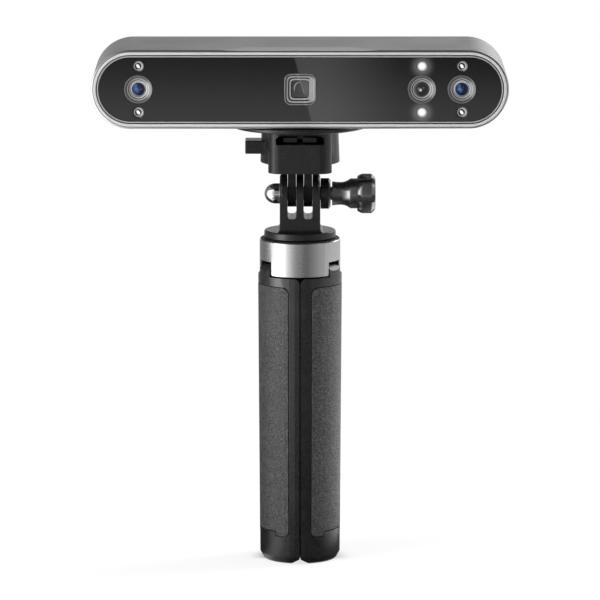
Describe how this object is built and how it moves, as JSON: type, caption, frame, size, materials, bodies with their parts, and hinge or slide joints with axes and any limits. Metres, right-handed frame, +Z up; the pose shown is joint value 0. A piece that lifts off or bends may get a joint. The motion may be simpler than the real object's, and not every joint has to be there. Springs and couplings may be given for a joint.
{
  "type": "handheld three-d scanner on a tripod grip",
  "caption": "Bar-shaped three-d scanner with a black camera window, on a quick-release mount, a clamped tilting finger joint and a grip whose legs open into a small stand.",
  "frame": {"origin": "on the ground, in the middle of the closed legs", "axes": "+Z up along the grip, -Y the way the scanner looks, +X to the right of someone who faces it"},
  "size_m": [0.153, 0.051, 0.1941],
  "materials": {
    "head_shell": "fine bead-blasted, grey anodised",
    "polished_trim": "polished bright",
    "collar": "satin, turned round its axis",
    "window": "black, glossy",
    "lens": "coated, glossy",
    "camera_ring": "dark anodised, fine turned steps",
    "camera_block": "black anodised",
    "infrared_led": "bright rim with a clear bulb",
    "white_led": null,
    "black_plastic": "fine satin black",
    "leg_plastic": "fine satin black",
    "grip_skin": "dark grey, leather-like grain",
    "soft_rubber": "matt black",
    "circuit_board": "green solder mask",
    "chassis": "plain machined",
    "brass": "turned",
    "steel": "plain",
    "chrome": "polished",
    "black_knob": "glossy black anodised"
  },
  "bodies": {
    "grip": {"grip_collar": "collar", "tripod_hub": "black_plastic", "tripod_stud": "steel", "left_hinge_pin": "steel", "right_hinge_pin": "steel", "rear_hinge_pin": "steel"},
    "left_leg": {"left_leg_shell": "leg_plastic", "left_grip_panel": "grip_skin", "left_foot_pad": "soft_rubber"},
    "right_leg": {"right_leg_shell": "leg_plastic", "right_grip_panel": "grip_skin", "right_foot_pad": "soft_rubber"},
    "rear_leg": {"rear_leg_shell": "leg_plastic", "rear_grip_panel": "grip_skin", "rear_foot_pad": "soft_rubber"},
    "adapter": {"finger_adapter": "black_plastic", "domed_nut": "chrome"},
    "thumbscrew": {"pivot_bolt": "steel", "spacer_washer": "black_plastic", "thumb_knob": "black_knob"},
    "receiver": {"quick_release_receiver": "black_plastic"},
    "lever": {"release_lever": "black_plastic", "lever_spring": "steel"},
    "scan_button": {"scan_button": "soft_rubber"},
    "plus_button": {"plus_button": "soft_rubber"},
    "minus_button": {"minus_button": "soft_rubber"},
    "head": {"head_shell": "head_shell", "front_bezel": "polished_trim", "window_trim_ring": "polished_trim", "front_window": "window", "projector_frame": "camera_ring", "projector_window": "lens", "projector_module": "camera_block", "optics_chassis": "chassis", "main_board": "circuit_board", "rear_cover": "black_plastic", "usb_inlet": "steel", "status_light": "white_led", "left_infrared_camera_ring": "camera_ring", "left_infrared_camera_lens": "lens", "left_infrared_camera_module": "camera_block", "colour_camera_ring": "camera_ring", "colour_camera_lens": "lens", "colour_camera_module": "camera_block", "right_infrared_camera_ring": "camera_ring", "right_infrared_camera_lens": "lens", "right_infrared_camera_module": "camera_block", "left_upper_led": "infrared_led", "left_lower_led": "infrared_led", "colour_upper_led": "white_led", "colour_lower_led": "white_led", "right_upper_led": "infrared_led", "right_lower_led": "infrared_led", "cover_screw_1": "steel", "cover_screw_2": "steel", "cover_screw_3": "steel", "cover_screw_4": "steel", "mount_plate": "black_plastic", "mount_screw": "steel", "tripod_insert": "brass"}
  },
  "joints": [
    {"name": "left_leg_swing", "type": "hinge", "parent": "grip", "child": "left_leg", "pos_m": [-0.011, -0.00635, 0.1104], "axis": [-0.5, 0.866, 0], "range_deg": [0, 55]},
    {"name": "right_leg_swing", "type": "hinge", "parent": "grip", "child": "right_leg", "pos_m": [0.011, -0.00635, 0.1104], "axis": [-0.5, -0.866, 0], "range_deg": [0, 55]},
    {"name": "rear_leg_swing", "type": "hinge", "parent": "grip", "child": "rear_leg", "pos_m": [0, 0.0127, 0.1104], "axis": [1, 0, 0], "range_deg": [0, 55]},
    {"name": "adapter_turn", "type": "hinge", "parent": "grip", "child": "adapter", "pos_m": [0, 0, 0.122], "axis": [0, 0, 1], "range_deg": [-180, 180]},
    {"name": "head_tilt", "type": "hinge", "parent": "adapter", "child": "receiver", "pos_m": [0, 0, 0.13787], "axis": [1, 0, 0], "range_deg": [-75, 75]},
    {"name": "thumbscrew_turn", "type": "hinge", "parent": "adapter", "child": "thumbscrew", "pos_m": [0.0199, 0, 0.13787], "axis": [1, 0, 0], "continuous": true},
    {"name": "head_slide", "type": "slide", "parent": "receiver", "child": "head", "axis": [0, -1, 0], "range_m": [0, 0.024]},
    {"name": "lever_press", "type": "slide", "parent": "receiver", "child": "lever", "axis": [1, 0, 0], "range_m": [0, 0.0025], "stiffness_N_per_m": 400, "springref_m": -0.002},
    {"name": "scan_button_press", "type": "slide", "parent": "head", "child": "scan_button", "axis": [0, -1, 0], "range_m": [0, 0.00045], "stiffness_N_per_m": 2000, "springref_m": -0.0004},
    {"name": "plus_button_press", "type": "slide", "parent": "head", "child": "plus_button", "axis": [0, -1, 0], "range_m": [0, 0.00045], "stiffness_N_per_m": 2000, "springref_m": -0.0004},
    {"name": "minus_button_press", "type": "slide", "parent": "head", "child": "minus_button", "axis": [0, -1, 0], "range_m": [0, 0.00045], "stiffness_N_per_m": 2000, "springref_m": -0.0004}
  ]
}
